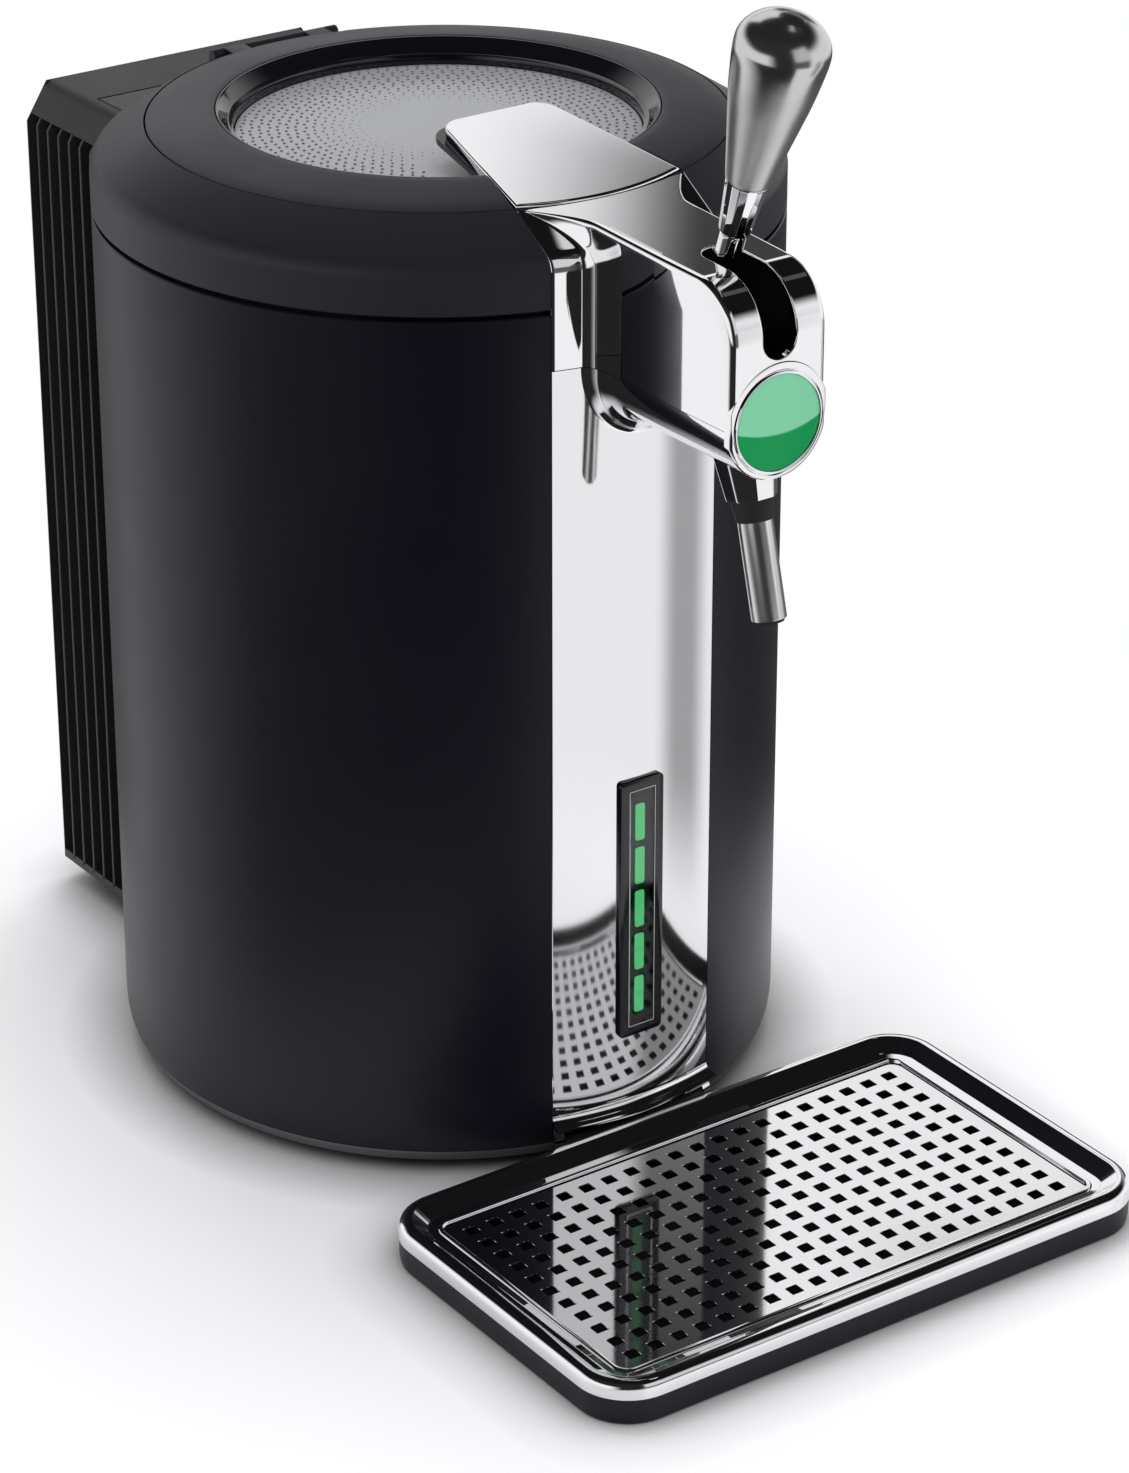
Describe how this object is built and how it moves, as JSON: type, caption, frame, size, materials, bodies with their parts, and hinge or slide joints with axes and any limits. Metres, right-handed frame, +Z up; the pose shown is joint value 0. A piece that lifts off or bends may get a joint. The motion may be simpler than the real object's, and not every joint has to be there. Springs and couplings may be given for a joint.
{
  "type": "mini keg beer dispenser",
  "caption": "Counter-top mini keg beer dispenser: cooled insulated barrel with hinged windowed lid and latch, chromed lever tap on the front, finned cooling module behind, drip tray in front.",
  "frame": {"origin": "middle of the bounding box's base, on the counter", "axes": "+Z up; the tap and drip tray point along -Y; +X is to the right seen from the front"},
  "size_m": [0.27, 0.4982, 0.4918],
  "materials": {
    "body_black": "satin moulded skin with a very fine grain",
    "base_grey": "satin grey plastic",
    "black_plastic": "matte black plastic",
    "gloss_black": "polished black plastic",
    "module_grey": "matte dark grey plastic with a fine grain",
    "smoked_window": "smoked, dotted window, slightly frosted",
    "chrome": "mirror polished chrome on plastic",
    "mirror_steel": "mirror polished stainless sheet",
    "steel": "brushed stainless steel",
    "pewter": "satin metallised knob, polished toward its top",
    "rubber": "black rubber",
    "green_badge": "domed gloss green disc",
    "green_light": "lit green bars",
    "aluminium": "drawn aluminium",
    "foam": "closed-cell foam",
    "circuit_green": "lacquered circuit board",
    "grey_metal": "zinc plated sheet",
    "ceramic": "white ceramic"
  },
  "bodies": {
    "dispenser": {"barrel_shell": "body_black", "base_ring": "base_grey", "base_plate": "black_plastic", "rubber_feet": "rubber", "base_screws": "steel", "seam_ring": "gloss_black", "upper_collar": "body_black", "lid_hinge_pin": "steel", "keg_well": "aluminium", "well_gasket": "rubber", "inner_liner": "black_plastic", "insulation": "foam", "front_panel": "mirror_steel", "panel_lip": "chrome", "panel_feet": "chrome", "display_bezel": "gloss_black", "display_pane": "gloss_black", "display_board": "circuit_green", "light_bars": "green_light", "tap_upper_shell": "chrome", "tap_lower_shell": "chrome", "badge_base": "chrome", "badge_ring": "chrome", "badge_disc": "green_badge", "spout_collar": "chrome", "spout_seal": "rubber", "spout_tube": "steel", "spout_tip": "rubber", "valve_body": "black_plastic", "lever_pin": "steel", "rear_housing": "module_grey", "rear_hatch": "module_grey", "rear_cover": "module_grey", "power_inlet": "black_plastic", "switch_frame": "black_plastic", "cover_screws": "steel", "heat_sink": "aluminium", "thermoelectric_cooler": "ceramic", "cold_block": "aluminium", "fan_frame": "black_plastic", "control_board": "circuit_green", "power_supply": "grey_metal"},
    "lid": {"lid_ring": "body_black", "lid_seal": "rubber", "lid_bezel": "gloss_black", "lid_window": "smoked_window", "latch_pin": "steel"},
    "latch": {"latch_plate": "chrome", "latch_grip": "gloss_black", "latch_leg": "gloss_black"},
    "lever": {"lever_stem": "chrome", "lever_neck": "chrome", "lever_knob": "pewter"},
    "plunger": {"valve_plunger": "black_plastic"},
    "fan": {"fan_rotor": "black_plastic"},
    "switch": {"power_rocker": "gloss_black"},
    "tray": {"tray_base": "black_plastic", "tray_rim": "chrome"},
    "plate": {"drip_plate": "mirror_steel"}
  },
  "joints": [
    {"name": "lid_hinge", "type": "hinge", "parent": "dispenser", "child": "lid", "pos_m": [0, 0.16865, 0.3923], "axis": [-1, 0, 0], "range_deg": [0, 85]},
    {"name": "latch_hinge", "type": "hinge", "parent": "lid", "child": "latch", "pos_m": [0, -0.05585, 0.3892], "axis": [1, 0, 0], "range_deg": [0, 10]},
    {"name": "lever_hinge", "type": "hinge", "parent": "dispenser", "child": "lever", "pos_m": [0, -0.12685, 0.3655], "axis": [1, 0, 0], "range_deg": [0, 58]},
    {"name": "plunger_slide", "type": "slide", "parent": "dispenser", "child": "plunger", "axis": [0, 1, 0], "range_m": [0, 0.004]},
    {"name": "fan_spin", "type": "hinge", "parent": "dispenser", "child": "fan", "pos_m": [0, 0.23415, 0.19], "axis": [0, 1, 0], "continuous": true},
    {"name": "switch_rock", "type": "hinge", "parent": "dispenser", "child": "switch", "pos_m": [-0.034, 0.24315, 0.044], "axis": [0, 0, 1], "range_deg": [0, 16]},
    {"name": "tray_slide", "type": "slide", "parent": "dispenser", "child": "tray", "axis": [0, -1, 0], "range_m": [0, 0.1]},
    {"name": "plate_lift", "type": "slide", "parent": "tray", "child": "plate", "axis": [0, 0, 1], "range_m": [0, 0.03]}
  ],
  "couplings": [
    {"joint": "plunger_slide", "follows": "lever_hinge", "m_per_rad": 0.0039}
  ]
}
